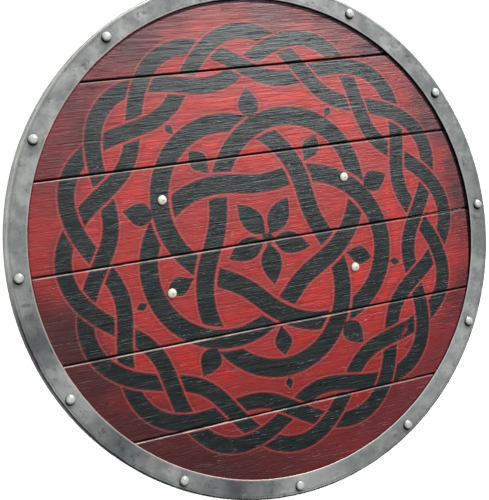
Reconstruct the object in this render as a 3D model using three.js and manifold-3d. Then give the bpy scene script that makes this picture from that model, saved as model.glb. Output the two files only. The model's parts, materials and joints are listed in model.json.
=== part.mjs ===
// A round wooden shield: six planks in a riveted steel rim, with an arm strap and a hand grip behind.
// Millimetres, +Z up. The shield lies face up on its strap loops, with the planks along X.
// The origin is under the centre of the rim, at the height of the surface that the straps lie on.

import * as THREE from 'three';
import { mergeVertices } from 'three/addons/utils/BufferGeometryUtils.js';
import Module from 'manifold-3d';

// ---- Driving dimensions ----

const rimRadius = 305;
const rimFlange = 24;
const rimSheet = 2.4;
const rimCorner = 3;
const plankThickness = 12.7;
// Seams between the planks, from the top one down: distances above the shield's centre line.
const seams = [201.2, 99.5, -2.8, -101.9, -200.8];
const seamGap = 0.5;
const chamferWidth = 1.5;
const chamferDepth = 2.5;
// Clearance kept between pieces that touch.
const gap = 0.3;

const rivetCircle = 294;
const rivetHeadRadius = 5.7;
const rivetHeadHeight = 3.8;
const rivetTailRadius = 4.6;
const rivetTailHeight = 2.2;
const rivetShank = 2.4;
// How far each hand-drilled rivet strays from its even 30 degree place, in degrees,
// counter-clockwise from +X.
const rivetDrift = [0, 0, -0.5, 0, 2.5, 0.5, 0, -2, 0, -1.5, 0, 0.5];

const strapWidth = 38;
const strapThickness = 4;
const loopClear = 50;
const loopRootRadius = 5;
const loopCrestRadius = 16;
const loopRootInset = 9;
const loopLean = THREE.MathUtils.degToRad(100);
// Each strap runs from its lower bolt to its upper one.
const straps = [
  { name: 'arm_strap', lower: [-127, -44], upper: [-122, 61.5] },
  { name: 'hand_grip', lower: [108, -51.5], upper: [110.5, 58.5] },
];

const boltHeadRadius = 5.4;
const boltHeadHeight = 3.2;
const boltShank = 2.5;
const boltPastNut = 2;
const washerRadius = 7.5;
const washerThickness = 1.2;
const nutAcrossFlats = 8;
const nutHeight = 4;

// Flat sides on round shapes.
const rimSides = 120;
const roundSides = 12;

// ---- Heights, from the resting surface up ----

const woodBack = strapThickness + loopClear;
const woodFront = woodBack + plankThickness;
const rimTop = woodFront + gap + rimSheet;
const rimBottom = woodBack - gap - rimSheet;
const strapTop = woodBack - gap;
const washerTop = strapTop - strapThickness - gap;
const nutTop = washerTop - washerThickness - gap;
const boltEnd = nutTop - nutHeight - boltPastNut;

// ---- Solids ----

const wasm = await Module();
wasm.setup();

function toSolid(geometry) {
  const bare = geometry.clone();
  bare.deleteAttribute('normal');
  bare.deleteAttribute('uv');
  const merged = mergeVertices(bare, 1e-4);
  return new wasm.Manifold(new wasm.Mesh({
    numProp: 3,
    vertProperties: new Float32Array(merged.attributes.position.array),
    triVerts: new Uint32Array(merged.index.array),
  }));
}

function toGeometry(solid) {
  const mesh = solid.getMesh();
  const geometry = new THREE.BufferGeometry();
  geometry.setAttribute('position', new THREE.BufferAttribute(mesh.vertProperties, 3));
  geometry.setIndex(new THREE.BufferAttribute(mesh.triVerts, 1));
  geometry.computeVertexNormals();
  return geometry;
}

// A profile of [radius, height] points, counter-clockwise, turned about the Z axis.
function revolve(profile, sides) {
  const points = profile.map(([radius, height]) => new THREE.Vector2(radius, height));
  return new THREE.LatheGeometry(points, sides).rotateX(Math.PI / 2);
}

function arc(radius, height, size, from, to, steps) {
  return Array.from({ length: steps + 1 }, (_, i) => {
    const angle = THREE.MathUtils.degToRad(from + (to - from) * i / steps);
    return [radius + size * Math.cos(angle), height + size * Math.sin(angle)];
  });
}

// An upright round post from one height to another, used to cut a hole.
function post(x, y, radius, low, high) {
  const geometry = new THREE.CylinderGeometry(radius, radius, high - low, roundSides);
  return geometry.rotateX(Math.PI / 2).translate(x, y, (low + high) / 2);
}

function drill(solid, places, radius) {
  return places.reduce((left, [x, y]) => {
    return left.subtract(toSolid(post(x, y, radius, rimBottom - 5, rimTop + 5)));
  }, solid);
}

// ---- Where the fasteners go ----

const rivetPlaces = rivetDrift.map((drift, i) => {
  const angle = THREE.MathUtils.degToRad(i * 360 / rivetDrift.length + drift);
  return [rivetCircle * Math.cos(angle), rivetCircle * Math.sin(angle)];
});
const boltPlaces = straps.flatMap((strap) => [strap.upper, strap.lower]);

// ---- Materials ----

function material(color, roughness, metalness) {
  return new THREE.MeshStandardMaterial({ color, roughness, metalness });
}

function piece(name, geometry, look) {
  const mesh = new THREE.Mesh(geometry, look);
  mesh.name = name;
  return mesh;
}

// Turns a section drawn in Y and Z, extruded from zero, so that it runs along X.
const alongX = new THREE.Matrix4().makeBasis(
  new THREE.Vector3(0, 1, 0),
  new THREE.Vector3(0, 0, 1),
  new THREE.Vector3(1, 0, 0),
);

// ---- Planks: boards along X, chamfered along the seams and cut round together ----

function plankSection(low, high) {
  const bottom = low + seamGap / 2;
  const top = high - seamGap / 2;
  return new THREE.Shape([
    new THREE.Vector2(bottom, woodBack),
    new THREE.Vector2(top, woodBack),
    new THREE.Vector2(top, woodFront - chamferDepth),
    new THREE.Vector2(top - chamferWidth, woodFront),
    new THREE.Vector2(bottom + chamferWidth, woodFront),
    new THREE.Vector2(bottom, woodFront - chamferDepth),
  ]);
}

function makePlanks() {
  const discRadius = rimRadius - rimSheet - gap;
  const disc = new THREE.CylinderGeometry(discRadius, discRadius, plankThickness * 2, rimSides);
  const round = toSolid(disc.rotateX(Math.PI / 2).translate(0, 0, (woodBack + woodFront) / 2));
  const edges = [rimRadius + 10, ...seams, -rimRadius - 10];
  return edges.slice(1).map((low, i) => {
    const section = plankSection(low, edges[i]);
    const board = new THREE.ExtrudeGeometry(section, { depth: rimRadius * 2, bevelEnabled: false });
    board.applyMatrix4(alongX).translate(-rimRadius, 0, 0);
    const sawn = toSolid(board).intersect(round);
    const forRivets = drill(sawn, rivetPlaces, rivetShank + gap);
    const drilled = drill(forRivets, boltPlaces, boltShank + gap);
    return piece(`plank_${i + 1}`, toGeometry(drilled), material(0x8c2f33, 0.75, 0));
  });
}

// ---- Rim: sheet steel folded over the edge into a channel ----

function makeRim() {
  const inner = rimRadius - rimFlange;
  const cornerRadius = rimRadius - rimCorner;
  const wallInside = rimRadius - rimSheet;
  const channel = revolve([
    ...arc(cornerRadius, rimBottom + rimCorner, rimCorner, -90, 0, 2),
    ...arc(cornerRadius, rimTop - rimCorner, rimCorner, 0, 90, 2),
    [inner, rimTop],
    [inner, rimTop - rimSheet],
    [wallInside, rimTop - rimSheet],
    [wallInside, rimBottom + rimSheet],
    [inner, rimBottom + rimSheet],
    [inner, rimBottom],
    [cornerRadius, rimBottom],
  ], rimSides);
  const drilled = drill(toSolid(channel), rivetPlaces, rivetShank + gap);
  return piece('rim', toGeometry(drilled), material(0x8c9090, 0.45, 1));
}

// ---- Rivets: a dome in front, a shank through everything, a flatter head closed behind ----

function domeAbove(radius, height, base, steps) {
  return Array.from({ length: steps + 1 }, (_, i) => {
    const angle = Math.PI / 2 * i / steps;
    return [radius * Math.cos(angle), base + height * Math.sin(angle)];
  });
}

function makeRivets() {
  const headBase = rimTop + gap;
  const tailBase = rimBottom - gap;
  const tail = domeAbove(rivetTailRadius, -rivetTailHeight, tailBase, 2).reverse();
  const head = domeAbove(rivetHeadRadius, rivetHeadHeight, headBase, 3);
  const profile = [...tail, [rivetShank, tailBase], [rivetShank, headBase], ...head];
  profile[0][0] = 0;
  profile[profile.length - 1][0] = 0;
  return rivetPlaces.map(([x, y], i) => {
    const name = `rim_rivet_${String(i + 1).padStart(2, '0')}`;
    const rivet = piece(name, revolve(profile, roundSides), material(0xd8dad6, 0.35, 1));
    rivet.position.set(x, y, 0);
    return rivet;
  });
}

// ---- Strap bolts, washers and nuts ----

function makeBolt(name) {
  const headBase = woodFront + gap;
  const head = domeAbove(boltHeadRadius, boltHeadHeight, headBase, 3);
  const profile = [[0, boltEnd], [boltShank, boltEnd], [boltShank, headBase], ...head];
  profile[profile.length - 1][0] = 0;
  return piece(name, revolve(profile, roundSides), material(0xe6e2d0, 0.4, 1));
}

function makeWasher(name) {
  const hole = boltShank + gap;
  const bottom = washerTop - washerThickness;
  const ring = [[washerRadius, bottom], [washerRadius, washerTop], [hole, washerTop], [hole, bottom]];
  return piece(name, revolve([...ring, ring[0]], roundSides), material(0xa8aaa8, 0.4, 1));
}

function makeNut(name) {
  const corner = nutAcrossFlats / Math.sqrt(3);
  const blank = new THREE.CylinderGeometry(corner, corner, nutHeight, 6);
  const hexagon = toSolid(blank.rotateX(Math.PI / 2).translate(0, 0, nutTop - nutHeight / 2));
  const hole = toSolid(post(0, 0, boltShank + gap, nutTop - nutHeight - 1, nutTop + 1));
  return piece(name, toGeometry(hexagon.subtract(hole)), material(0x9c9e9c, 0.45, 1));
}

function makeFasteners() {
  return boltPlaces.flatMap(([x, y], i) => {
    const stack = [
      makeBolt(`strap_bolt_${i + 1}`),
      makeWasher(`strap_washer_${i + 1}`),
      makeNut(`strap_nut_${i + 1}`),
    ];
    stack.forEach((mesh) => mesh.position.set(x, y, 0));
    return stack;
  });
}

// ---- Straps: leather bent down into a loop whose crest lies flat ----

// Walks along the middle of the leather and leaves a point on each of its two faces at every step.
function strapSection(span) {
  const end = span / 2 + strapWidth / 2;
  const root = span / 2 - loopRootInset;
  const drop = strapTop - strapThickness;
  const bends = (loopRootRadius + loopCrestRadius) * (1 - Math.cos(loopLean));
  const side = (drop - bends) / Math.sin(loopLean);
  const bendReach = (loopRootRadius + loopCrestRadius) * Math.sin(loopLean);
  const crest = root - bendReach - side * Math.cos(loopLean);
  const upper = [];
  const lower = [];
  let heading = 0;
  let y = -end;
  let z = strapTop - strapThickness / 2;
  const mark = () => {
    const half = strapThickness / 2;
    upper.push(new THREE.Vector2(y - half * Math.sin(heading), z + half * Math.cos(heading)));
    lower.push(new THREE.Vector2(y + half * Math.sin(heading), z - half * Math.cos(heading)));
  };
  const ahead = (length) => {
    y += length * Math.cos(heading);
    z += length * Math.sin(heading);
    mark();
  };
  const bend = (radius, angle, steps) => {
    const chord = 2 * radius * Math.sin(Math.abs(angle) / steps / 2);
    for (let i = 0; i < steps; i += 1) {
      heading += angle / steps / 2;
      y += chord * Math.cos(heading);
      z += chord * Math.sin(heading);
      heading += angle / steps / 2;
      mark();
    }
  };
  mark();
  ahead(end - root);
  bend(loopRootRadius, -loopLean, 5);
  ahead(side);
  bend(loopCrestRadius, loopLean, 7);
  ahead(crest * 2);
  bend(loopCrestRadius, loopLean, 7);
  ahead(side);
  bend(loopRootRadius, -loopLean, 5);
  ahead(end - root);
  return new THREE.Shape([...lower, ...upper.reverse()]);
}

// The strap's outline from above: straight sides and round ends, centred on the bolts.
function strapOutline(span) {
  const outline = new THREE.Shape();
  outline.absarc(0, span / 2, strapWidth / 2, 0, Math.PI);
  outline.absarc(0, -span / 2, strapWidth / 2, Math.PI, Math.PI * 2);
  return outline;
}

function makeStrap({ name, lower, upper }) {
  const from = new THREE.Vector2(...lower);
  const to = new THREE.Vector2(...upper);
  const span = from.distanceTo(to);
  const band = new THREE.ExtrudeGeometry(strapSection(span), { depth: strapWidth + 10, bevelEnabled: false });
  band.applyMatrix4(alongX).translate(-strapWidth / 2 - 5, 0, 0);
  const outline = strapOutline(span);
  const upright = { depth: woodFront, bevelEnabled: false, curveSegments: 8 };
  const cutter = new THREE.ExtrudeGeometry(outline, upright);
  const shaped = toSolid(band).intersect(toSolid(cutter.translate(0, 0, -5)));
  const boltsHere = [[0, span / 2], [0, -span / 2]];
  const drilled = boltsHere.reduce((left, [x, y]) => {
    return left.subtract(toSolid(post(x, y, boltShank + gap, nutTop, woodFront)));
  }, shaped);
  const strap = piece(name, toGeometry(drilled), material(0x4a2c1c, 0.7, 0));
  const middle = from.clone().add(to).multiplyScalar(0.5);
  strap.position.set(middle.x, middle.y, 0);
  strap.rotation.z = to.clone().sub(from).angle() - Math.PI / 2;
  return strap;
}

// ---- The shield ----

const shield = new THREE.Group();
shield.add(...makePlanks());
shield.add(makeRim());
shield.add(...makeRivets());
shield.add(...makeFasteners());
shield.add(...straps.map(makeStrap));

export default shield;
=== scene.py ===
# A round wooden shield lying face up: six stained and painted boards in a riveted steel rim,
# with a leather arm strap and hand grip bolted on behind. Metres, +Z out of the painted face.

import json
import math

import bmesh
import bpy
import numpy as np
from mathutils import Matrix, Vector, noise

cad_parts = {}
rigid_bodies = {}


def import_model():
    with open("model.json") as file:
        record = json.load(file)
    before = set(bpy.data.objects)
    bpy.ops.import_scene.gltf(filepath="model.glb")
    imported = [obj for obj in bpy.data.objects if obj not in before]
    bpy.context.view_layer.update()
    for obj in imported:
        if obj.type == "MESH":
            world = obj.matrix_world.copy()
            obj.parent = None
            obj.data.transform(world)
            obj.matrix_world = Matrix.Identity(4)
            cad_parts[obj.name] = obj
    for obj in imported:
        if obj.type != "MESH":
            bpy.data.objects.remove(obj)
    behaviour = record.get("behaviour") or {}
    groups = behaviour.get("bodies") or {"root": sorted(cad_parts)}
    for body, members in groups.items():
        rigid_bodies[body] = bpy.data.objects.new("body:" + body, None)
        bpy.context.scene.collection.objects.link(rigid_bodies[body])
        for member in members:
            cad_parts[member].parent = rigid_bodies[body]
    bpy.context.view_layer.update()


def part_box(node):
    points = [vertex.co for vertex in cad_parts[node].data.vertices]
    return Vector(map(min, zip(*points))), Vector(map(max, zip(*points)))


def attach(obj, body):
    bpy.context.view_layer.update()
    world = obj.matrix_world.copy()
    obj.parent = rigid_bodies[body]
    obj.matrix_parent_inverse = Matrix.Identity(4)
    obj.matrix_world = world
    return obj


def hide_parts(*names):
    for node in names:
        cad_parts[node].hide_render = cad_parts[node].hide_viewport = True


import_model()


# ---- Boards ----
# Six softwood boards laid side by side and sawn round together, with a chamfer along each seam.
# Wire brushed along the grain, stained red, darkened towards the rim, then painted black by hand.

boards = [f"plank_{number}" for number in range(1, 7)]
board_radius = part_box("plank_3")[1].x
board_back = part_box("plank_3")[0].z
board_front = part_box("plank_3")[1].z
rim_flange = 0.024
rim_inner_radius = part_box("rim")[1].x - rim_flange

# Each chamfer's width, its depth at the joint and how softly it runs out into the face.
chamfer_width = 0.0015
chamfer_depth = 0.0025
chamfer_softness = 0.00035
# Painted shade fades over this width at a chamfer's edge, and lies this far in from an open joint.
chamfer_shade_fade = 0.0004
joint_shade = 0.0006
# How deep the brush wore the soft wood, how far a board swells, and how deep its cracks go.
brushed_depth = 0.00003
swell_depth = 0.00010
crack_depth = 0.00018

# Each board is laid out in rows along its grain, close together beside its two edges.
board_columns = 380
row_pitch = 0.001
edge_rows = np.array([0, 0.35, 0.7, 1.05, 1.4, 1.75, 2.2, 2.8, 3.6]) / 1000
first_even_row = 0.0046
# The outermost rows stop this far short of the round's edge, where they would have no length.
round_end = 0.0006

# A place beside the rim, on the left, that the darker coat hardly reached.
clear_patch = (-0.272, 0.028)
# Knots: place along and across the shield, and radius. The grain runs round them.
knots = [
    (0.187, -0.160, 0.008),
    (0.128, 0.262, 0.006),
    (-0.205, 0.046, 0.006),
    (-0.090, -0.238, 0.007),
    (0.215, 0.150, 0.005),
]


def grain_lines(x, y):
    """Where each point lies across the grain, once the grain has gone round the knots."""
    growth = y.copy()
    for knot_x, knot_y, size in knots:
        along = (x - knot_x) / (size * 4.5)
        across = (y - knot_y) / (size * 2.4)
        reach = np.exp(-along ** 2 - across ** 2)
        growth -= size * 1.3 * reach * np.tanh((y - knot_y) / (size * 0.7))
    return growth


def drawn_out_noise(x, growth, along, across, seed):
    """Noise stretched along the grain, about -1 to 1."""
    points = zip(x * along, growth * across)
    return np.array([noise.noise(Vector((a, b, seed))) for a, b in points])


def plait(x, y, ring, swing, leads, bights, band, gap, turn):
    """Distance to a band woven over and under itself round a circle, negative inside the band."""
    radius = np.hypot(x, y)
    angle = np.arctan2(y, x) + turn
    row = np.arccos(np.clip((radius - ring) / swing, -1, 1)) * leads / np.pi
    row = np.clip(np.rint(row), 1, leads - 1)
    strands = []
    for lead in range(leads):
        phase = (bights * angle + 2 * np.pi * lead) / leads
        slope = swing * bights / leads * np.sin(phase) / np.maximum(radius, 1e-6)
        away = np.abs(radius - ring - swing * np.cos(phase)) / np.sqrt(1 + slope ** 2)
        strands.append((away, np.sin(phase) > 0))
    nearest = np.full_like(radius, 1.0)
    for away, falling in strands:
        here = away - band / 2
        for other_away, other_falling in strands:
            odd_row = row % 2 == 1
            over = (other_falling != falling) & (other_falling == odd_row)
            here = np.where(over, np.maximum(here, band / 2 + gap - other_away), here)
        nearest = np.minimum(nearest, here)
    return nearest


def leaves(x, y, start, end, width, turn, belly):
    """Distance to five pointed leaves set round the middle, negative inside them."""
    radius = np.hypot(x, y)
    along = np.clip((radius - start) / (end - start), 0, 1)
    share = 2 * np.pi / 5
    aside = (np.mod((np.arctan2(y, x) - turn) / share + 0.5, 1) - 0.5) * share * radius
    half = width / 2 * np.sin(np.pi * along ** belly)
    return np.maximum(np.abs(aside) - half, np.maximum(start - radius, radius - end))


# Places where the black has flaked: middle, length, width and the way it runs, in degrees.
flakes = [
    (0.1615, -0.1420, 0.034, 0.0030, 64),
    (0.1660, -0.1390, 0.016, 0.0042, 58),
    (-0.1915, 0.0985, 0.012, 0.0016, 88),
    (-0.1880, 0.1090, 0.010, 0.0014, 80),
    (0.0420, 0.1230, 0.010, 0.0014, 12),
]


def painted_design(x, y):
    """Distance to the black paint, negative where there is paint: a plait round a five-looped knot."""
    up = np.pi / 2
    half_share = np.pi / 5
    forms = [
        plait(x, y, ring=0.2170, swing=0.0275, leads=3, bights=16, band=0.0167, gap=0.0043, turn=-up),
        plait(x, y, ring=0.1090, swing=0.0442, leads=3, bights=5, band=0.0200, gap=0.0052, turn=up),
        leaves(x, y, start=0.1430, end=0.1770, width=0.024, turn=up, belly=0.80),
        leaves(x, y, start=0.1665, end=0.1780, width=0.007, turn=up + half_share, belly=1.0),
        leaves(x, y, start=0.1050, end=0.1380, width=0.020, turn=up + half_share, belly=1.2),
        leaves(x, y, start=0.0070, end=0.0540, width=0.025, turn=up + half_share, belly=1.0),
    ]
    paint = np.minimum.reduce(forms)
    for flake_x, flake_y, length, width, degrees in flakes:
        turn = math.radians(degrees)
        along = (x - flake_x) * math.cos(turn) + (y - flake_y) * math.sin(turn)
        aside = (y - flake_y) * math.cos(turn) - (x - flake_x) * math.sin(turn)
        reach = np.hypot(along / (length / 2), aside / (width / 2))
        paint = np.maximum(paint, (1 - reach) * width / 2)
    return paint


def keep_values(mesh, title, numbers):
    """Stores one number for each vertex of a mesh, for its material to read."""
    stored = mesh.attributes.new(title, "FLOAT", "POINT")
    stored.data.foreach_set("value", numbers.astype(np.float32))


def sawn_board(low, high):
    """A board's flat face in rows along its grain, with its edge and back below it."""
    bottom = max(low.y, round_end - board_radius)
    top = min(high.y, board_radius - round_end)
    middle = np.arange(bottom + first_even_row, top - first_even_row, row_pitch)
    rows = np.concatenate([bottom + edge_rows, middle, top - edge_rows[::-1]])

    bm = bmesh.new()
    bmesh.ops.create_grid(bm, x_segments=board_columns, y_segments=len(rows) - 1, size=1)
    across = np.linspace(-1, 1, len(rows))
    for vert in bm.verts:
        y = float(np.interp(vert.co.y, across, rows))
        half_length = math.sqrt(board_radius ** 2 - y ** 2)
        vert.co = (vert.co.x * half_length, y, board_front)
    for face in bm.faces:
        face.smooth = True
    rim_edges = [edge for edge in bm.edges if edge.is_boundary]
    skirt = bmesh.ops.extrude_edge_only(bm, edges=rim_edges)["geom"]
    for vert in (part for part in skirt if isinstance(part, bmesh.types.BMVert)):
        vert.co.z = board_back
    lower_edges = [part for part in skirt if isinstance(part, bmesh.types.BMEdge) and part.is_boundary]
    bmesh.ops.edgeloop_fill(bm, edges=lower_edges)
    for face in bm.faces:
        if any(vert.co.z < board_front for vert in face.verts):
            face.smooth = False
    bmesh.ops.recalc_face_normals(bm, faces=bm.faces)
    return bm


def brushed_relief(x, y, growth, seed):
    """How far the face lies below its highest points once it has been brushed."""
    ridges = drawn_out_noise(x, growth, along=17, across=330, seed=seed)
    hollows = drawn_out_noise(x, growth, along=7, across=110, seed=seed + 2)
    swell = drawn_out_noise(x, y, along=5, across=16, seed=seed + 4)
    cracks = np.clip((ridges + 0.6 * hollows - 0.55) / 0.35, 0, 1)
    worn = brushed_depth * (1 - ridges) + brushed_depth * (1 - hollows)
    return worn + swell_depth * (1 - swell) + crack_depth * cracks


def chamfers(x, y, low, high, number):
    """Depth of a board's two chamfers, where painted shade lies in them, and where the upper one has a
    painted highlight.
    """
    depth = np.zeros_like(x)
    groove = np.zeros_like(x)
    arris = np.zeros_like(x)
    wander = drawn_out_noise(x, y * 0, along=22, across=1, seed=number * 5.3 + 6)
    width = chamfer_width * (1 + 0.25 * wander)
    for edge_y, is_seam in ((low.y, number < len(boards)), (high.y, number > 1)):
        if is_seam:
            in_from_edge = np.abs(y - edge_y)
            cut = chamfer_depth * (1 - in_from_edge / width)
            depth += 0.5 * (cut + np.sqrt(cut ** 2 + chamfer_softness ** 2))
            on_chamfer = np.clip((width + chamfer_shade_fade / 2 - in_from_edge) / chamfer_shade_fade, 0, 1)
            # The chamfer at a board's lower edge faces down and gets painted shade; at its upper edge the
            # joint gets painted shade and the chamfer a painted highlight.
            if edge_y == low.y:
                groove += on_chamfer
            else:
                groove += np.clip((joint_shade - in_from_edge) / (joint_shade / 2), 0, 1)
                arris += on_chamfer
    return depth, groove, arris


def make_board(name, number):
    """One board as a piece, with what its material reads stored at each vertex."""
    low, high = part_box(name)
    bm = sawn_board(low, high)
    mesh = bpy.data.meshes.new(name + "_board")
    bm.to_mesh(mesh)
    bm.free()

    places = np.zeros(len(mesh.vertices) * 3)
    mesh.vertices.foreach_get("co", places)
    places = places.reshape(-1, 3)
    x, y = places[:, 0], places[:, 1]
    growth = grain_lines(x, y)
    relief = brushed_relief(x, y, growth, number * 5.3)
    chamfer, groove, arris = chamfers(x, y, low, high, number)

    on_front = places[:, 2] > board_front - 1e-6
    places[:, 2] -= np.where(on_front, relief + chamfer, 0)
    mesh.vertices.foreach_set("co", places.ravel())
    values = {
        "growth": growth,
        "paint": painted_design(x, y),
        "groove": np.where(on_front, groove, 1),
        "arris": arris * on_front,
        "board": np.full_like(x, number),
    }
    for title, numbers in values.items():
        keep_values(mesh, title, numbers)
    mesh.update()

    board = bpy.data.objects.new(name + "_board", mesh)
    bpy.context.scene.collection.objects.link(board)
    return board


def srgb(red, green, blue):
    """A colour as it is seen, 0 to 255, as the linear colour that a shader takes."""
    seen = [part / 255 for part in (red, green, blue)]
    linear = [part / 12.92 if part < 0.04045 else ((part + 0.055) / 1.055) ** 2.4 for part in seen]
    return (*linear, 1.0)


class Nodes:
    """Adds nodes to one tree. An input is either a plain value or another node's output."""

    def __init__(self, tree):
        self.tree = tree

    def add(self, kind, inputs=None, **properties):
        node = self.tree.nodes.new(kind)
        for title, value in properties.items():
            setattr(node, title, value)
        for socket, value in (inputs or {}).items():
            if isinstance(value, bpy.types.NodeSocket):
                self.tree.links.new(value, node.inputs[socket])
            else:
                node.inputs[socket].default_value = value
        return node

    def sum(self, operation, *values, clamp=False):
        numbered = dict(enumerate(values))
        return self.add("ShaderNodeMath", numbered, operation=operation, use_clamp=clamp).outputs[0]

    def spread(self, value, low, high, to_low=0.0, to_high=1.0):
        inputs = {0: value, 1: low, 2: high, 3: to_low, 4: to_high}
        return self.add("ShaderNodeMapRange", inputs, interpolation_type="SMOOTHSTEP").outputs[0]

    def colour(self, share, first, second):
        inputs = {0: share, 6: first, 7: second}
        return self.add("ShaderNodeMix", inputs, data_type="RGBA").outputs[2]

    def tint(self, base, share, strength, towards):
        """Takes a colour part of the way towards another, where the share says."""
        return self.colour(self.sum("MULTIPLY", share, strength), base, towards)

    def noise(self, vector, scale, detail=2.0, roughness=0.5):
        inputs = {"Vector": vector, "Scale": scale, "Detail": detail, "Roughness": roughness}
        return self.add("ShaderNodeTexNoise", inputs).outputs[0]

    def attribute(self, title):
        return self.add("ShaderNodeAttribute", attribute_name=title).outputs["Fac"]

    def place(self):
        return self.add("ShaderNodeTexCoord").outputs["Object"]

    def axes(self, place):
        return self.add("ShaderNodeSeparateXYZ", {0: place}).outputs

    def away_from(self, axes, x=0.0, y=0.0):
        """Distance from an upright line, by default the one through the shield's middle."""
        flat_place = self.add("ShaderNodeCombineXYZ", {0: axes[0], 1: axes[1]}).outputs[0]
        inputs = {0: flat_place, 1: (x, y, 0)}
        return self.add("ShaderNodeVectorMath", inputs, operation="DISTANCE").outputs["Value"]

    def between(self, share, first, second):
        return self.add("ShaderNodeMix", {0: share, 2: first, 3: second}).outputs[0]

    def bump(self, height, distance):
        return self.add("ShaderNodeBump", {"Height": height, "Distance": distance}).outputs[0]


def new_material(name):
    """A material with an empty Principled shader, and the nodes to feed it."""
    material = bpy.data.materials.new(name)
    material.use_nodes = True
    return material, material.node_tree.nodes["Principled BSDF"], Nodes(material.node_tree)


def finish_shader(nodes, shader, inputs):
    for socket, value in inputs.items():
        if isinstance(value, bpy.types.NodeSocket):
            nodes.tree.links.new(value, shader.inputs[socket])
        else:
            shader.inputs[socket].default_value = value


def board_grain(nodes, x):
    """Gives a noise that runs along each board's own grain."""
    growth = nodes.attribute("growth")
    board = nodes.attribute("board")

    def grain(along, across, detail=3.0, roughness=0.6):
        parts = {
            0: nodes.sum("MULTIPLY", x, along),
            1: nodes.sum("MULTIPLY", growth, across),
            2: nodes.sum("MULTIPLY", board, 7.31),
        }
        vector = nodes.add("ShaderNodeCombineXYZ", parts).outputs[0]
        return nodes.noise(vector, 1.0, detail, roughness)

    return grain


def red_stain(nodes, place, grain, hair, line, from_paint):
    """Red stain, brightest on the open ground and darker in the lines of the grain."""
    band = nodes.spread(grain(5, 60), 0.3, 0.7)
    cloud = nodes.spread(nodes.noise(place, 9.0, 3.0), 0.3, 0.7)
    red = nodes.colour(band, srgb(162, 43, 44), srgb(177, 54, 51))
    open_ground = nodes.spread(from_paint, 0.0025, 0.0105)
    clear = nodes.sum("MULTIPLY", open_ground, nodes.spread(cloud, 0.2, 0.8, 0.35, 1.0))
    red = nodes.tint(red, clear, 0.85, srgb(218, 47, 38))
    red = nodes.tint(red, line, 0.5, srgb(116, 25, 30))
    return nodes.tint(red, hair, 0.4, srgb(84, 18, 24))


def darkened_towards_rim(nodes, red, axes, radius, upper_right, smoke):
    """A second, darker coat in ragged tongues along the rim, with the lower boards and the lower left
    darker, partly as painted shade.
    """
    # Darker on the lower boards: partly stain, partly painted shade.
    low_side = nodes.spread(axes[1], -0.05, -0.24)
    red = nodes.tint(red, low_side, 0.75, srgb(116, 22, 25))
    ragged = nodes.sum("MULTIPLY", nodes.sum("SUBTRACT", smoke, 0.5), 0.032)
    held_back = nodes.spread(upper_right, -0.08, 0.17, 0.0, 0.014)
    coat_radius = nodes.sum("SUBTRACT", nodes.sum("ADD", radius, ragged), held_back)
    outward = nodes.spread(coat_radius, 0.210, 0.264)
    from_clear_patch = nodes.away_from(axes, *clear_patch)
    outward = nodes.sum("MULTIPLY", outward, nodes.spread(from_clear_patch, 0.02, 0.085, 0.45, 1.0))
    dusk = nodes.colour(smoke, srgb(110, 32, 38), srgb(52, 24, 34))
    dusk = nodes.tint(dusk, low_side, 0.5, srgb(122, 34, 38))
    red = nodes.tint(red, outward, 0.94, dusk)
    # Darker still towards the lower left by the rim: partly stain, partly painted shade.
    lower_left = nodes.spread(nodes.sum("ADD", axes[0], axes[1]), -0.18, -0.36)
    return nodes.tint(red, nodes.sum("MULTIPLY", outward, lower_left), 0.7, srgb(50, 24, 26))


def beside_paint(nodes, red, edge):
    """The stain lifted pale along the paint, and a thin dark line against it."""
    pale = nodes.sum("MULTIPLY", nodes.spread(edge, 0.0010, 0.0017), nodes.spread(edge, 0.0038, 0.0024))
    red = nodes.tint(red, pale, 0.26, srgb(190, 100, 95))
    return nodes.tint(red, nodes.spread(edge, 0.0014, 0.0005), 0.8, srgb(66, 22, 27))


def black_paint(nodes, place, hair, line):
    """Thin black paint, greyer on the raised grain and worn through in a few short streaks."""
    black = nodes.colour(line, srgb(9, 15, 17), srgb(17, 25, 28))
    black = nodes.tint(black, hair, 0.35, srgb(44, 54, 56))
    worn = nodes.spread(nodes.sum("ADD", hair, nodes.noise(place, 34.0, 3.0)), 1.42, 1.58)
    return nodes.tint(black, worn, 0.3, srgb(104, 84, 82))


def lit_chamfer_highlights(nodes, face, place, axes):
    """Painted highlight on the chamfer below each seam, stronger towards the lower left."""
    towards_lower_left = nodes.sum("ADD", axes[0], nodes.sum("MULTIPLY", axes[1], 0.5))
    left_side = nodes.spread(towards_lower_left, 0.2, -0.2, 0.12, 1.0)
    broken_up = nodes.spread(nodes.noise(place, 42.0, 2.0), 0.38, 0.56, 0.4, 1.0)
    chamfer_highlight = nodes.sum("MULTIPLY", nodes.attribute("arris"), left_side)
    return nodes.tint(face, nodes.sum("MULTIPLY", chamfer_highlight, broken_up), 0.8, srgb(216, 190, 182))


def painted_shadow_under_rim(nodes, axes, radius, upper_right):
    """Where a painted shadow lies on the boards along the rim, broader to the upper right, and its colour.
    """
    width = nodes.spread(upper_right, -0.05, 0.2, 0.0017, 0.0046)
    width = nodes.sum("MULTIPLY", width, nodes.spread(axes[1], -0.12, 0.0, 0.1, 1.0))
    from_rim = nodes.sum("SUBTRACT", rim_inner_radius, radius)
    painted_shade = nodes.spread(nodes.sum("SUBTRACT", from_rim, width), 0.0006, -0.0008)
    tone = nodes.colour(nodes.spread(upper_right, -0.12, 0.1), srgb(58, 24, 29), srgb(12, 7, 9))
    return painted_shade, tone


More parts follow.
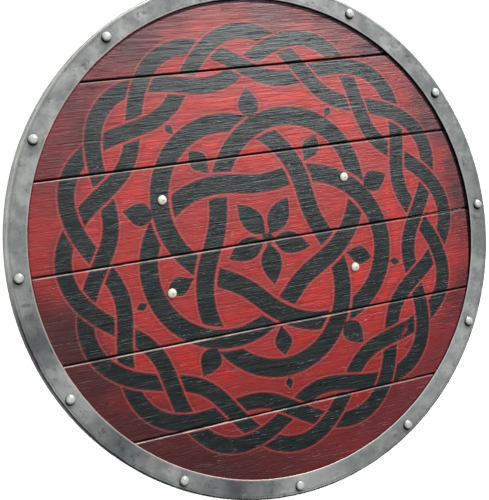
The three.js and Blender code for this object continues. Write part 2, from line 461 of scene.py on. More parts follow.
def painted_wood():
    material, shader, nodes = new_material("stained and painted boards")
    place = nodes.place()
    axes = nodes.axes(place)
    radius = nodes.away_from(axes)
    upper_right = nodes.sum("ADD", nodes.sum("MULTIPLY", axes[0], 0.8), nodes.sum("MULTIPLY", axes[1], 0.6))
    is_front = nodes.spread(axes[2], board_front - 0.0045, board_front - 0.0035)
    grain = board_grain(nodes, axes[0])
    hair = nodes.spread(grain(46, 950), 0.32, 0.68)
    line = nodes.spread(grain(22, 430), 0.3, 0.7)
    smoke = nodes.spread(grain(13, 21, 3.0, 0.5), 0.28, 0.72)

    from_paint = nodes.attribute("paint")
    wobble = nodes.sum("MULTIPLY", nodes.sum("SUBTRACT", nodes.noise(place, 160.0, 2.0), 0.5), 0.0009)
    feather = nodes.sum("MULTIPLY", nodes.sum("SUBTRACT", hair, 0.5), 0.0004)
    edge = nodes.sum("ADD", nodes.sum("ADD", from_paint, wobble), feather)
    painted = nodes.spread(edge, 0.0002, -0.0003)

    red = red_stain(nodes, place, grain, hair, line, from_paint)
    red = darkened_towards_rim(nodes, red, axes, radius, upper_right, smoke)
    red = beside_paint(nodes, red, edge)
    face = nodes.colour(painted, red, black_paint(nodes, place, hair, line))
    # Painted highlight along the chamfers that face up.
    face = lit_chamfer_highlights(nodes, face, place, axes)
    # Painted shadow along the rim, as if cast by the flange.
    painted_shade, painted_shadow_tone = painted_shadow_under_rim(nodes, axes, radius, upper_right)
    face = nodes.colour(painted_shade, face, painted_shadow_tone)
    # Painted shade in the seams: on the chamfers that face down and in the open joints.
    groove = nodes.attribute("groove")
    face = nodes.colour(groove, face, srgb(14, 10, 11))
    bare = nodes.colour(line, srgb(96, 58, 42), srgb(124, 78, 56))
    bare = nodes.tint(bare, hair, 0.5, srgb(66, 38, 28))

    rough_red = nodes.spread(line, 0.0, 1.0, 0.37, 0.46)
    rough_black = nodes.spread(line, 0.0, 1.0, 0.32, 0.39)
    pore = nodes.spread(grain(14, 760, 2.0, 0.5), 0.58, 0.65)
    height = nodes.sum("ADD", nodes.sum("MULTIPLY", hair, 0.7), nodes.sum("MULTIPLY", line, 0.6))
    height = nodes.sum("ADD", height, nodes.sum("MULTIPLY", pore, 1.7))
    # A near-black metal gives back next to no light, which keeps the painted shade in the seams and under
    # the rim dark.
    no_shine = nodes.sum("MULTIPLY", nodes.sum("MAXIMUM", groove, painted_shade), is_front)
    finish_shader(nodes, shader, {
        "Base Color": nodes.colour(is_front, bare, face),
        "Metallic": nodes.sum("MULTIPLY", no_shine, 0.9),
        "Roughness": nodes.between(painted, rough_red, rough_black),
        "Specular IOR Level": 0.22,
        "Normal": nodes.bump(nodes.sum("MULTIPLY", height, -1.0), 0.00011),
    })
    return material


wood = painted_wood()
for number, name in enumerate(boards, start=1):
    board = make_board(name, number)
    board.data.materials.append(wood)
    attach(board, "root")
    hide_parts(name)


# ---- Rim ----
# A strip of sheet steel folded into a channel over the boards' edge and butted at its two ends.
# Ground dull and cloudy with handling. Its inner edge has a painted highlight over painted shade,
# and painted shadows lie round the rivets, with painted light and shade along the fold and down its outer
# wall.

rim_low, rim_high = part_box("rim")
rim_radius = rim_high.x
rim_sheet = 0.0024
rim_corner = 0.003
rim_inside_corner = 0.0006
rim_arris = 0.0009
rim_steps = 540
# How far the bend's dull line and the fold's sharp one lie in from the rim's outside.
bend_inset = 0.0046
fold_inset = 0.0017
# How far a strip bent by hand strays: at its inner edge in long and short waves, round its
# wall, and up and down.
edge_long_waves = 0.000352
edge_short_waves = 0.00016
wall_waves = 0.00012
flange_waves = 0.00009
# Where the strip's two ends meet on the flange, and how far that line turns off the boards' grain.
joint_place = (0.2622, 0.1331)
joint_turn = math.radians(6)
# How far the painted shadows sit off each rivet's middle, down and to the left: the dark ring and the soft
# shadow.
shadow_ring_offset = (0.0005, 0.0011)
rivet_shadow_offset = (0.0015, 0.0045)


def arc(radius, height, size, start, end, steps):
    """Points of an arc in a section: its centre, its size and its two angles in degrees."""
    angles = np.radians(np.linspace(start, end, steps + 1))
    return [(radius + size * math.cos(a), height + size * math.sin(a)) for a in angles]


def revolve(section, steps):
    """A closed section of (radius, height) points spun about the upright axis."""
    bm = bmesh.new()
    verts = [bm.verts.new((radius, 0, height)) for radius, height in section]
    edges = [bm.edges.new(pair) for pair in zip(verts, verts[1:] + verts[:1])]
    bmesh.ops.spin(
        bm, geom=verts + edges, cent=(0, 0, 0), axis=(0, 0, 1),
        angle=2 * math.pi, steps=steps, use_merge=True,
    )
    bmesh.ops.remove_doubles(bm, verts=bm.verts, dist=1e-7)
    bmesh.ops.dissolve_degenerate(bm, edges=bm.edges, dist=1e-8)
    bmesh.ops.recalc_face_normals(bm, faces=bm.faces)
    return bm


def add_piece(bm, name, smooth_below=35):
    """Turns a bmesh into a piece, smooth except across edges sharper than the angle, in degrees."""
    for face in bm.faces:
        face.smooth = True
    for edge in bm.edges:
        edge.smooth = edge.calc_face_angle(0) < math.radians(smooth_below)
    mesh = bpy.data.meshes.new(name)
    bm.to_mesh(mesh)
    bm.free()
    piece = bpy.data.objects.new(name, mesh)
    bpy.context.scene.collection.objects.link(piece)
    return piece


def rim_section():
    """The channel's section as points of radius and height, from under its back flange round."""
    inner = rim_inner_radius
    shoulder = rim_radius - rim_corner
    wall = rim_radius - rim_sheet
    top = rim_high.z
    bottom = rim_low.z
    across = np.linspace(shoulder, inner + rim_arris, 7)[1:-1]
    section = arc(shoulder, bottom + rim_corner, rim_corner, -90, 0, 6)
    section += arc(shoulder, top - rim_corner, rim_corner, 0, 90, 6)
    section += [(radius, top) for radius in across]
    section += arc(inner + rim_arris, top - rim_arris, rim_arris, 90, 180, 3)
    section += [(inner, top - rim_sheet)]
    by_wall = wall - rim_inside_corner
    section += [(by_wall, top - rim_sheet), (wall, top - rim_sheet - rim_inside_corner)]
    section += [(wall, bottom + rim_sheet + rim_inside_corner), (by_wall, bottom + rim_sheet)]
    section += [(inner, bottom + rim_sheet)]
    section += arc(inner + rim_arris, bottom + rim_arris, rim_arris, 180, 270, 3)
    section += [(radius, bottom) for radius in across[::-1]]
    return section


# Small nicks that show bright steel: bearing and radius from the middle, size and depth.
rim_nicks = [
    (277.4, 0.2990, 0.0014, 0.0005),
    (276.6, 0.2976, 0.0010, 0.0004),
    (254.9, 0.2990, 0.0012, 0.0004),
    (202.7, 0.2826, 0.0011, 0.0002),
    (218.0, 0.3005, 0.0009, 0.0003),
]
# Where handling has darkened or brightened the steel: bearing, spread in degrees, and how much.
rim_clouds = [
    (194, 8, -0.8),
    (207, 5, 0.7),
    (223, 8, -0.85),
    (254, 8, -0.9),
    (272, 8, 0.8),
    (316, 12, 0.3),
    (4, 16, -0.3),
]


def nick_place(bearing, radius):
    turn = math.radians(bearing)
    return Vector((radius * math.cos(turn), radius * math.sin(turn)))


def make_rim():
    """The channel, with the unevenness of a hand-bent strip and the nicks in its front flange."""
    bm = revolve(rim_section(), rim_steps)
    middle_height = (rim_low.z + rim_high.z) / 2
    nicks = [(nick_place(bearing, radius), size, depth) for bearing, radius, size, depth in rim_nicks]
    for vert in bm.verts:
        radius = math.hypot(vert.co.x, vert.co.y)
        angle = math.atan2(vert.co.y, vert.co.x)
        around = Vector((math.cos(angle) * 5, math.sin(angle) * 5, 0))
        stray = noise.noise(around * 3) * edge_long_waves + noise.noise(around * 9) * edge_short_waves
        inwards = 1 - (radius - rim_inner_radius) / rim_flange
        new_radius = radius + stray * max(inwards, 0)
        if radius > rim_radius - rim_corner:
            new_radius -= wall_waves * (1 + noise.noise(around * 6))
        side = 1 if vert.co.z > middle_height else -1
        sink = flange_waves * (1 + noise.noise(Vector((vert.co.x, vert.co.y, side)) * 26))
        vert.co.x *= new_radius / radius
        vert.co.y *= new_radius / radius
        for nick, size, depth in nicks:
            away = (Vector(vert.co.xy) - nick).length
            sink += depth * math.exp(-(away / size) ** 2) * (side > 0)
        vert.co.z -= sink * side
    return bm


def worn_metal_group():
    """Cloudy tone, fine scratches and dull spots, as a tone, a roughness and a height from 0 to 1."""
    group = bpy.data.node_groups.new("worn metal", "ShaderNodeTree")
    for title, kind in (("Vector", "NodeSocketVector"), ("Cloud Scale", "NodeSocketFloat"),
                        ("Scratch Scale", "NodeSocketFloat")):
        group.interface.new_socket(title, in_out="INPUT", socket_type=kind)
    for title in ("Tone", "Roughness", "Height"):
        group.interface.new_socket(title, in_out="OUTPUT", socket_type="NodeSocketFloat")
    nodes = Nodes(group)
    given = nodes.add("NodeGroupInput").outputs
    cloud = nodes.noise(given["Vector"], given["Cloud Scale"], 4.0, 0.62)
    stretched = nodes.add("ShaderNodeMapping", {"Vector": given["Vector"], "Scale": (1.0, 0.12, 1.0)})
    crossed = nodes.add("ShaderNodeMapping", {
        "Vector": given["Vector"], "Rotation": (0, 0, 1.1), "Scale": (1.0, 0.1, 1.0),
    })
    scratch = nodes.noise(stretched.outputs[0], given["Scratch Scale"], 2.0)
    cross_scratch = nodes.noise(crossed.outputs[0], given["Scratch Scale"], 2.0)
    scratches = nodes.sum("ADD", nodes.spread(scratch, 0.56, 0.72), nodes.spread(cross_scratch, 0.6, 0.74))
    pitting = nodes.spread(nodes.noise(given["Vector"], given["Scratch Scale"], 3.0), 0.6, 0.75)
    tone = nodes.spread(cloud, 0.3, 0.7)
    roughness = nodes.sum("ADD", nodes.sum("MULTIPLY", tone, 0.7), nodes.sum("MULTIPLY", pitting, 0.3))
    scratched = nodes.sum("MULTIPLY", scratches, -0.5)
    height = nodes.sum("SUBTRACT", scratched, nodes.sum("MULTIPLY", pitting, 0.5))
    nodes.add("NodeGroupOutput", {"Tone": tone, "Roughness": roughness, "Height": height})
    return group


worn_metal = worn_metal_group()


def handled_steel(nodes, place, tone, blotch):
    """Steel mottled by handling, with its darker and brighter stretches and its nicks."""
    steel = nodes.colour(tone, srgb(196, 199, 197), srgb(236, 238, 233))
    steel = nodes.tint(steel, blotch, 0.6, srgb(148, 157, 158))
    smudge = nodes.spread(nodes.noise(place, 95.0, 3.0, 0.7), 0.56, 0.70)
    steel = nodes.tint(steel, smudge, 0.6, srgb(112, 118, 118))
    cloud = nodes.attribute("cloud")
    dark = nodes.sum("MULTIPLY", cloud, -1.0, clamp=True)
    light = nodes.sum("MULTIPLY", cloud, 1.0, clamp=True)
    patchy = nodes.sum("ADD", nodes.sum("MULTIPLY", tone, 0.6), 0.4)
    steel = nodes.colour(nodes.sum("MULTIPLY", dark, patchy), steel, srgb(92, 97, 101))
    steel = nodes.tint(steel, light, 0.7, srgb(246, 248, 246))
    return nodes.colour(nodes.attribute("nick"), steel, srgb(244, 246, 242))


def joint_line(nodes, place):
    """Where the fine line between the strip's two ends runs across the flange."""
    x, y = joint_place
    centred = nodes.add("ShaderNodeMapping", {"Vector": place, "Location": (-x, -y, 0)}).outputs[0]
    turned = nodes.add("ShaderNodeMapping", {"Vector": centred, "Rotation": (0, 0, joint_turn)}).outputs[0]
    along, across, _ = nodes.axes(turned)
    beside = nodes.spread(nodes.sum("ABSOLUTE", across), 0.0005, 0.0002)
    return nodes.sum("MULTIPLY", beside, nodes.spread(nodes.sum("ABSOLUTE", along), 0.03, 0.025))


def outer_wall(nodes, steel, axes, fold_radius):
    """The bend's darker line, the fold's line as a painted highlight on the left and painted shade lower
    down, the wall below darker towards its foot and lower side, partly as painted shade, and where the wall
    is.
    """
    off_bend = nodes.sum("ABSOLUTE", nodes.sum("SUBTRACT", fold_radius, rim_radius - bend_inset))
    steel = nodes.tint(steel, nodes.spread(off_bend, 0.0012, 0.0002), 0.4, srgb(126, 128, 120))
    # Painted shade on the lower side, on the wall and on the fold's line.
    lower_side_shade = nodes.spread(axes[1], 0.03, -0.06)
    wall = nodes.spread(fold_radius, rim_radius - 0.0022, rim_radius - 0.0012)
    foot = nodes.spread(axes[2], rim_high.z - 0.003, rim_low.z + 0.004)
    wall_tone = nodes.colour(foot, srgb(150, 152, 147), srgb(84, 86, 82))
    wall_tone = nodes.colour(lower_side_shade, wall_tone, srgb(60, 63, 63))
    steel = nodes.tint(steel, wall, 0.85, wall_tone)
    # The fold's line as a painted highlight on the left.
    left_side = nodes.spread(axes[0], 0.05, -0.08)
    off_fold = nodes.sum("ABSOLUTE", nodes.sum("SUBTRACT", fold_radius, rim_radius - fold_inset))
    fold_shows = nodes.sum("MAXIMUM", left_side, lower_side_shade)
    fold = nodes.sum("MULTIPLY", nodes.spread(off_fold, 0.0010, 0.0003), fold_shows)
    fold_tone = nodes.colour(lower_side_shade, srgb(250, 252, 246), srgb(48, 51, 51))
    return nodes.tint(steel, fold, 0.9, fold_tone), wall


def painted_shadows_round_rivets(nodes, steel, axes):
    """A soft painted shadow below each rivet and a dark painted shadow ring against it, and where the rings
    are.
    """
    nearest_ring = 1.0
    nearest_rivet_shadow = 1.0
    for number in range(1, 13):
        low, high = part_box(f"rim_rivet_{number:02d}")
        middle = (low + high) / 2
        from_ring = nodes.away_from(axes, middle.x - shadow_ring_offset[0], middle.y - shadow_ring_offset[1])
        from_rivet_shadow = nodes.away_from(axes, middle.x - rivet_shadow_offset[0], middle.y - rivet_shadow_offset[1])
        nearest_ring = nodes.sum("MINIMUM", from_ring, nearest_ring)
        nearest_rivet_shadow = nodes.sum("MINIMUM", from_rivet_shadow, nearest_rivet_shadow)
    steel = nodes.tint(steel, nodes.spread(nearest_rivet_shadow, 0.0085, 0.003), 0.4, srgb(70, 72, 76))
    ring = nodes.spread(nearest_ring, 0.0060, 0.0055)
    return nodes.colour(ring, steel, srgb(14, 16, 15)), ring


def lit_and_shaded_inner_edge(nodes, steel, axes, radius):
    """The inner edge: a painted highlight on its arris, pink on the left as a painted reflection of the
    boards, painted shade on the cut edge below it, and where the highlight is.
    """
    arris_highlight = nodes.spread(radius, rim_inner_radius + 0.0022, rim_inner_radius + 0.0010)
    tone = nodes.colour(nodes.spread(axes[0], 0.0, 0.12), srgb(228, 198, 191), srgb(212, 214, 211))
    steel = nodes.tint(steel, arris_highlight, 0.75, tone)
    below_arris = nodes.spread(axes[2], rim_high.z - rim_arris * 0.6, rim_high.z - rim_arris * 1.1)
    at_edge = nodes.spread(radius, rim_inner_radius + 0.0009, rim_inner_radius + 0.0005)
    return nodes.tint(steel, nodes.sum("MULTIPLY", below_arris, at_edge), 0.95, srgb(20, 16, 17)), arris_highlight


def rim_steel():
    material, shader, nodes = new_material("dull rim steel")
    place = nodes.place()
    axes = nodes.axes(place)
    radius = nodes.away_from(axes)
    wear = nodes.add("ShaderNodeGroup", {
        "Vector": place, "Cloud Scale": 24.0, "Scratch Scale": 520.0,
    }, node_tree=worn_metal).outputs
    blotch = nodes.spread(nodes.noise(place, 55.0, 4.0, 0.65), 0.35, 0.65)
    ragged = nodes.sum("MULTIPLY", nodes.sum("SUBTRACT", blotch, 0.5), 0.0006)

    steel = handled_steel(nodes, place, wear["Tone"], blotch)
    joint = joint_line(nodes, place)
    steel = nodes.tint(steel, joint, 0.7, srgb(60, 62, 62))
    # Painted light and shade along the fold and down the outer wall.
    steel, wall = outer_wall(nodes, steel, axes, nodes.sum("ADD", radius, ragged))
    # Painted shadows round the rivets.
    steel, ring = painted_shadows_round_rivets(nodes, steel, axes)
    # Painted highlight on the inner edge's arris, and painted shade below it.
    steel, arris_highlight = lit_and_shaded_inner_edge(nodes, steel, axes, radius)

    polish = nodes.spread(wear["Roughness"], 0.0, 1.0, 0.24, 0.36)
    joint_groove = nodes.sum("MULTIPLY", joint, nodes.spread(arris_highlight, 0.0, 0.2, 0.8, 0.0))
    height = nodes.sum("SUBTRACT", wear["Height"], joint_groove)
    finish_shader(nodes, shader, {
        "Base Color": steel,
        "Specular Tint": (0.4, 0.4, 0.4, 1.0),
        "Metallic": nodes.spread(ring, 0.0, 1.0, 0.8, 0.0),
        "Roughness": nodes.between(nodes.sum("MAXIMUM", wall, arris_highlight), polish, 0.55),
        "Normal": nodes.bump(height, 0.00005),
    })
    return material


def mark_wear(mesh):
    """Stores how cloudy and how nicked the steel is at each vertex, for its material to read."""
    places = [vert.co.xy for vert in mesh.vertices]
    bearings = np.degrees([math.atan2(place.y, place.x) for place in places])
    cloud = np.zeros_like(bearings)
    for bearing, spread, amount in rim_clouds:
        apart = np.abs(np.mod(bearings - bearing + 180, 360) - 180)
        cloud += amount * np.exp(-(apart / spread) ** 2)
    nicked = np.zeros_like(bearings)
    for bearing, radius, size, _ in rim_nicks:
        nick = nick_place(bearing, radius)
        away = np.array([(place - nick).length for place in places])
        nicked += np.exp(-(away / size) ** 2)
    keep_values(mesh, "cloud", cloud)
    keep_values(mesh, "nick", nicked)


rim = add_piece(make_rim(), "rim_channel", 50)
mark_wear(rim.data)
rim.data.materials.append(rim_steel())
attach(rim, "root")
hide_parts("rim")


# ---- Rim rivets ----
# Twelve zinc-plated rivets through both flanges and the wood, spaced by eye. Each has a round
# head in front and was closed with a hammer behind, so no two heads are quite alike.

rivet_shank = 0.0024
# A head's straight edge, how far its foot is drawn in, and how high and how deep the hammer
# marked it.
head_lip = 0.0004
head_foot = 0.97
marked_above = 0.001
hammer_marks = 0.00018
# The tail's reach beside the head's, and how much the hammer shortened it.
tail_reach = 0.8
tail_shortened = 0.0003
# Painted shade lies along each head's lower left, since its lit part is off its middle by this much.
# It starts this far in from that part's edge and deepens over this length.
lit_side = (0.0004, 0.0011)
rivet_shade_starts = 0.0017
rivet_shade_fade = 0.0024


def dome(radius, height, base, steps):
    """Section of a round head, from its edge up to its crown on the axis."""
    angles = np.linspace(0, math.pi / 2, steps + 1)
    return [(radius * math.cos(a), base + height * math.sin(a)) for a in angles[:-1]] + [(0, base + height)]


def make_rivet(name, number):
    low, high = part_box(name)
    middle = (low + high) / 2
    head_radius = (high.x - low.x) / 2
    tail = dome(head_radius * tail_reach, low.z + tail_shortened - rim_low.z, rim_low.z, 5)
    head = dome(head_radius, high.z - rim_high.z - head_lip, rim_high.z + head_lip, 9)
    section = tail[::-1] + [(rivet_shank, rim_low.z), (rivet_shank, rim_high.z)]
    section += [(head_radius * head_foot, rim_high.z)] + head
    bm = revolve(section, 36)
    for vert in bm.verts:
        if vert.co.z > rim_high.z + marked_above or vert.co.z < rim_low.z:
            beaten = noise.noise(vert.co * 260 + Vector((number * 9.1, 0, 0)))
            vert.co.z -= hammer_marks * (1 + beaten) * (1 if vert.co.z > rim_high.z else -1)
    rivet_shade_at = bm.verts.layers.float.new("dirt")
    # Painted shade on each head's lower left.
    for vert in bm.verts:
        away = math.hypot(vert.co.x - lit_side[0], vert.co.y - lit_side[1])
        vert[rivet_shade_at] = min(max((away - head_radius + rivet_shade_starts) / rivet_shade_fade, 0), 1)
    bmesh.ops.translate(bm, verts=bm.verts, vec=(middle.x, middle.y, 0))
    return bm


def bright_metal(name, light, shade, polish, metallic, seat):
    """Bright metal, between two roughnesses, with painted shade just above where it is seated and on each
    rivet head's lower left.
    """
    material, shader, nodes = new_material(name)
    place = nodes.place()
    wear = nodes.add("ShaderNodeGroup", {
        "Vector": place, "Cloud Scale": 190.0, "Scratch Scale": 900.0,
    }, node_tree=worn_metal).outputs
    height = nodes.axes(place)[2]
    above_seat = nodes.sum("ABSOLUTE", nodes.sum("SUBTRACT", height, seat))
    dirt = nodes.attribute("dirt")
    # Painted shade at the seat and on the rivet heads' shaded side, with a greyer lower side as painted
    # shade too.
    painted_shade = nodes.sum("MAXIMUM", nodes.spread(above_seat, 0.0014, 0.0007), nodes.spread(dirt, 0.72, 0.95))
    bright = nodes.colour(wear["Tone"], light, shade)
    bright = nodes.colour(nodes.spread(dirt, 0.0, 0.75, 0.0, 0.85), bright, srgb(112, 116, 112))
    bright = nodes.tint(bright, nodes.attribute("dent"), 0.8, srgb(74, 66, 54))
    roughness = nodes.spread(wear["Roughness"], 0.0, 1.0, *polish)
    finish_shader(nodes, shader, {
        "Base Color": nodes.colour(painted_shade, bright, srgb(16, 18, 17)),
        "Metallic": nodes.spread(painted_shade, 0.0, 1.0, metallic, 0.0),
        "Roughness": nodes.between(painted_shade, roughness, 0.85),
        "Normal": nodes.bump(wear["Height"], 0.00004),
    })
    return material


zinc = bright_metal(
    "bright zinc", srgb(240, 242, 236), srgb(204, 208, 202),
    polish=(0.16, 0.32), metallic=0.4, seat=rim_high.z,
)
for number in range(1, 13):
    name = f"rim_rivet_{number:02d}"
    rivet = add_piece(make_rivet(name, number), name + "_beaten", 40)
    rivet.data.materials.append(zinc)
    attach(rivet, "root")
    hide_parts(name)


# ---- Strap bolts, washers and nuts ----
# Four round-headed bolts through the middle boards hold the straps. The heads are lacquered and
# slightly ivory. Behind, each carries a washer and a hexagon nut, with a little thread past it.

strap_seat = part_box("strap_washer_1")[1].z
bolt_shank = 0.0025
bolt_end_chamfer = 0.0005
thread_length = 0.012
thread_pitch = 0.0008
thread_depth = 0.0004
# The die left a small dent a little below the middle of each head.
dent_place = (0.0003, -0.0012)
dent_size = 0.0011
dent_depth = 0.0004
head_sunk = 0.0002
# Room left round each bolt, and between the leather and the wood.
clearance = 0.0003
hole_radius = bolt_shank + clearance
washer_round = 0.0003
washer_hole_chamfer = 0.0002
nut_across_flats = 0.008
nut_chamfer = 0.0006
nut_hole_chamfer = 0.0003


def make_bolt(name):
    low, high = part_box(name)
    middle = (low + high) / 2
    head_radius = (high.x - low.x) / 2
    head = dome(head_radius, high.z - board_front - head_lip, board_front + head_lip, 9)
    thread_top = low.z + thread_length
    turns = int((thread_top - low.z) / thread_pitch)
    section = [(0, low.z), (bolt_shank - bolt_end_chamfer, low.z)]
    for turn in range(turns):
        section += [(bolt_shank, low.z + (turn + 0.5) * thread_pitch)]
        section += [(bolt_shank - thread_depth, low.z + (turn + 1) * thread_pitch)]
    section += [(bolt_shank, thread_top + thread_depth), (bolt_shank, board_front)]
    section += [(head_radius * head_foot, board_front - head_sunk)] + head
    bm = revolve(section, 32)
    dent_at = bm.verts.layers.float.new("dent")
    for vert in bm.verts:
        if vert.co.z > board_front + 0.0005:
            away = math.hypot(vert.co.x - dent_place[0], vert.co.y - dent_place[1])
            vert[dent_at] = math.exp(-(away / dent_size) ** 2)
            vert.co.z -= dent_depth * vert[dent_at]
    bmesh.ops.translate(bm, verts=bm.verts, vec=(middle.x, middle.y, 0))
    return bm


def make_washer(name):
    low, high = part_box(name)
    middle = (low + high) / 2
    outer = (high.x - low.x) / 2
    inner = hole_radius + washer_hole_chamfer
    section = arc(outer - washer_round, low.z + washer_round, washer_round, -90, 0, 2)
    section += arc(outer - washer_round, high.z - washer_round, washer_round, 0, 90, 2)
    section += [(inner, high.z), (hole_radius, high.z - washer_hole_chamfer)]
    section += [(hole_radius, low.z + washer_hole_chamfer), (inner, low.z)]
    bm = revolve(section, 40)
    bmesh.ops.translate(bm, verts=bm.verts, vec=(middle.x, middle.y, 0))
    return bm


def turn_about_z(degrees):
    return Matrix.Rotation(math.radians(degrees), 3, "Z")


def make_nut(name, turned):
    """A hexagon nut, spun round and then pressed flat on its six sides."""
    low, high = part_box(name)
    middle = (low + high) / 2
    flat = nut_across_flats / 2
    corner = flat / math.cos(math.pi / 6)
    inner = hole_radius + nut_hole_chamfer
    section = [(flat * 0.96, low.z), (corner, low.z + nut_chamfer), (corner, high.z - nut_chamfer)]
    section += [(flat * 0.96, high.z), (inner, high.z), (hole_radius, high.z - nut_hole_chamfer)]
    section += [(hole_radius, low.z + nut_hole_chamfer), (inner, low.z)]
    bm = revolve(section, 48)
    for vert in bm.verts:
        radius = math.hypot(vert.co.x, vert.co.y)
        angle = math.atan2(vert.co.y, vert.co.x)
        to_flat = (angle + math.pi / 6) % (math.pi / 3) - math.pi / 6
        limit = flat / math.cos(to_flat)
        if radius > limit:
            vert.co.x *= limit / radius
            vert.co.y *= limit / radius
    bmesh.ops.rotate(bm, verts=bm.verts, cent=(0, 0, 0), matrix=turn_about_z(turned))
    bmesh.ops.translate(bm, verts=bm.verts, vec=(middle.x, middle.y, 0))
    return bm


ivory = bright_metal(
    "lacquered bolt heads", srgb(250, 245, 230), srgb(232, 224, 206),
    polish=(0.24, 0.4), metallic=0.15, seat=board_front,
)
plain_zinc = bright_metal(
    "plain zinc hardware", srgb(190, 192, 190), srgb(160, 162, 160),
    polish=(0.3, 0.5), metallic=0.9, seat=strap_seat,
)
for number in range(1, 5):
    parts = (
        ("strap_bolt", make_bolt(f"strap_bolt_{number}"), ivory, "bolts"),
        ("strap_washer", make_washer(f"strap_washer_{number}"), plain_zinc, "strap_hardware"),
        ("strap_nut", make_nut(f"strap_nut_{number}", number * 17), plain_zinc, "strap_hardware"),
    )
    for kind, bm, metal, slot in parts:
        part = add_piece(bm, f"{kind}_{number}_turned", 40)
        part.data.materials.append(metal)
        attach(part, "root")
        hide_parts(f"{kind}_{number}")


# ---- Straps ----
# Two straps of thick vegetable-tanned leather, one for the forearm and one for the hand. Each is
# bolted flat at both ends and stands off the back in a loop, its crest pressed flat where it lies.

strap_width = 0.038
strap_thickness = 0.004
strap_top = board_back - clearance
loop_root_radius = 0.005
loop_crest_radius = 0.016
loop_root_inset = 0.009
loop_lean = math.radians(100)
strap_columns = 20
strap_edge_round = 0.0009
# The strap's end rows are taken this far in, where its round end has some width.
end_row_inset = 0.0002
# How far the creased line lies in from the leather's edge.
crease_inset = 0.0035
# Each strap's name, its upper bolt and its lower bolt.
straps = [("arm_strap", "strap_bolt_1", "strap_bolt_2"), ("hand_grip", "strap_bolt_3", "strap_bolt_4")]


def strap_course(span):
    """The middle of the leather seen from its edge: (distance run, along, height, heading) points."""
    end = span / 2 + strap_width / 2
    root = span / 2 - loop_root_inset
    drop = strap_top - strap_thickness
    both = loop_root_radius + loop_crest_radius
    side = (drop - both * (1 - math.cos(loop_lean))) / math.sin(loop_lean)
    crest = root - both * math.sin(loop_lean) - side * math.cos(loop_lean)
    moves = [
        (end - root, 0, 30), (loop_root_radius, -loop_lean, 12), (side, 0, 14),
        (loop_crest_radius, loop_lean, 20), (crest * 2, 0, 24), (loop_crest_radius, loop_lean, 20),
        (side, 0, 14), (loop_root_radius, -loop_lean, 12), (end - root, 0, 30),
    ]
    run, along, height, heading = 0.0, -end, strap_top - strap_thickness / 2, 0.0
    points = [(run, along, height, heading)]
    for size, bend, steps in moves:
        length = size * abs(bend) if bend else size
        for _ in range(steps):
            chord = 2 * size * math.sin(abs(bend) / steps / 2) if bend else size / steps
            heading += bend / steps / 2
            along += chord * math.cos(heading)
            height += chord * math.sin(heading)
            heading += bend / steps / 2
            run += length / steps
            points.append((run, along, height, heading))
    return points


def make_strap(name, upper_bolt, lower_bolt):
    """A strip with round ends laid along its course, from one bolt to the other."""
    upper = (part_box(upper_bolt)[0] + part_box(upper_bolt)[1]) / 2
    lower = (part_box(lower_bolt)[0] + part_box(lower_bolt)[1]) / 2
    middle = (upper + lower) / 2
    direction = (upper - lower).xy
    course = strap_course(direction.length)
    total = course[-1][0]
    bm = bmesh.new()
    bmesh.ops.create_grid(bm, x_segments=strap_columns, y_segments=len(course) - 1, size=1)
    aside_at = bm.verts.layers.float.new("aside")
    for vert in bm.verts:
        index = round((vert.co.y + 1) / 2 * (len(course) - 1))
        run, along, height, heading = course[index]
        half = strap_width / 2
        from_end = max(min(run, total - run), end_row_inset)
        if from_end < half:
            half = math.sqrt(half ** 2 - (half - from_end) ** 2)
        aside = vert.co.x * half
        vert[aside_at] = aside
        vert.co = (aside, along, height)
    turn = math.atan2(direction.y, direction.x) - math.pi / 2
    bmesh.ops.rotate(bm, verts=bm.verts, cent=(0, 0, 0), matrix=turn_about_z(math.degrees(turn)))
    bmesh.ops.translate(bm, verts=bm.verts, vec=(middle.x, middle.y, 0))
    bmesh.ops.recalc_face_normals(bm, faces=bm.faces)
    strap = add_piece(bm, name + "_leather", 80)
    thick = strap.modifiers.new("thickness of the leather", "SOLIDIFY")
    thick.thickness = strap_thickness
    thick.offset = 0
    rounded = strap.modifiers.new("dressed edges", "BEVEL")
    rounded.width = strap_edge_round
    rounded.segments = 3
    rounded.limit_method = "ANGLE"
    rounded.angle_limit = math.radians(50)
    return strap


def strap_leather():
    material, shader, nodes = new_material("oiled strap leather")
    place = nodes.place()
    aside = nodes.sum("ABSOLUTE", nodes.attribute("aside"))
    pebble = nodes.add("ShaderNodeTexVoronoi", {"Vector": place, "Scale": 620.0}).outputs["Distance"]
    pore = nodes.noise(place, 900.0, 3.0)
    mottle = nodes.spread(nodes.noise(place, 60.0, 4.0, 0.6), 0.3, 0.7)
    brown = nodes.colour(mottle, srgb(66, 38, 24), srgb(98, 58, 36))
    brown = nodes.tint(brown, nodes.spread(pore, 0.4, 0.65), 0.35, srgb(44, 25, 17))
    from_crease = nodes.sum("ABSOLUTE", nodes.sum("SUBTRACT", aside, strap_width / 2 - crease_inset))
    crease = nodes.spread(from_crease, 0.0008, 0.0002)
    edge = nodes.spread(aside, strap_width / 2 - 0.0015, strap_width / 2 - 0.0004)
    brown = nodes.tint(brown, nodes.sum("MAXIMUM", crease, edge), 0.75, srgb(30, 17, 12))
    height = nodes.sum("SUBTRACT", nodes.sum("MULTIPLY", pebble, 0.5), nodes.sum("MULTIPLY", crease, 2.2))
    finish_shader(nodes, shader, {
        "Base Color": brown,
        "Roughness": nodes.spread(mottle, 0.0, 1.0, 0.42, 0.62),
        "Normal": nodes.bump(height, 0.00018),
    })
    return material


leather = strap_leather()
for name, upper_bolt, lower_bolt in straps:
    strap = make_strap(name, upper_bolt, lower_bolt)
    strap.data.materials.append(leather)
    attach(strap, "root")
    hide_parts(name)


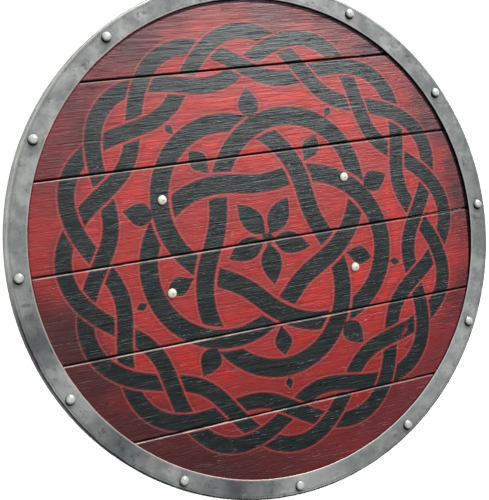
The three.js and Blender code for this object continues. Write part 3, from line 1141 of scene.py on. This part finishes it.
# ---- Floor, light and camera ----
# A pale floor under a key light from beyond the upper right, a weaker one overhead that nothing
# mirrors, a panel that only the boards reflect and a wash for the floor alone. The sky is
# brighter overhead than round about.

floor_reach = 14

bm = bmesh.new()
bmesh.ops.create_grid(bm, x_segments=1, y_segments=1, size=floor_reach)
floor = add_piece(bm, "floor")
pale, pale_shader, pale_nodes = new_material("pale floor")
floor_mottle = pale_nodes.noise(pale_nodes.place(), 3.0, 3.0)
finish_shader(pale_nodes, pale_shader, {
    "Base Color": pale_nodes.colour(floor_mottle, srgb(246, 246, 246), srgb(249, 249, 249)),
    "Roughness": 0.9,
})
floor.data.materials.append(pale)


def soft_light(name, place, size, power):
    """A round soft light that faces the shield."""
    light = bpy.data.lights.new(name, "AREA")
    light.shape = "DISK"
    light.size = size
    light.energy = power
    lamp = bpy.data.objects.new(name, light)
    lamp.location = place
    lamp.rotation_euler = (-Vector(place)).to_track_quat("-Z", "Y").to_euler()
    bpy.context.scene.collection.objects.link(lamp)
    return lamp


def shine_only_on(lamp, pieces):
    chosen = bpy.data.collections.new("lit by the " + lamp.name)
    for piece in pieces:
        chosen.objects.link(piece)
    lamp.light_linking.receiver_collection = chosen


soft_light("key light", place=(1.0, 1.75, 1.15), size=0.85, power=57)
overhead = soft_light("overhead light", place=(-1.0, 0.2, 2.6), size=1.8, power=34)
overhead.visible_glossy = False
# The panel gives the soft sheen across the upper boards, and lights nothing otherwise.
panel = soft_light("sheen panel", place=(1.42, 1.52, 2.4), size=1.2, power=225)
panel.visible_diffuse = False
shine_only_on(panel, [piece for piece in bpy.data.objects if piece.name.endswith("_board")])
# The floor has a wash of its own, as a studio's backdrop has.
wash = soft_light("floor wash", place=(-1.4, -1.2, 2.6), size=2.4, power=90)
shine_only_on(wash, [floor])

world = bpy.data.worlds.new("studio")
bpy.context.scene.world = world
world.use_nodes = True
sky_nodes = Nodes(world.node_tree)
direction = sky_nodes.add("ShaderNodeTexCoord").outputs["Generated"]
overhead_share = sky_nodes.spread(sky_nodes.axes(direction)[2], 0.25, 0.72)
sky = sky_nodes.colour(overhead_share, (0.11, 0.11, 0.115, 1), (0.285, 0.288, 0.291, 1))
background = world.node_tree.nodes["Background"]
world.node_tree.links.new(sky, background.inputs[0])
background.inputs[1].default_value = 1.0

camera_data = bpy.data.cameras.new("camera")
camera_data.lens = 73.98
camera_data.sensor_width = 36
camera = bpy.data.objects.new("camera", camera_data)
camera.location = (-0.4809, 0.0355, 1.1022 + rim_high.z)
camera.rotation_mode = "ZYX"
camera.rotation_euler = (math.radians(-2.32), math.radians(-22.10), math.radians(-9.43))
bpy.context.scene.collection.objects.link(camera)
bpy.context.scene.camera = camera
bpy.context.scene.view_settings.view_transform = "Standard"
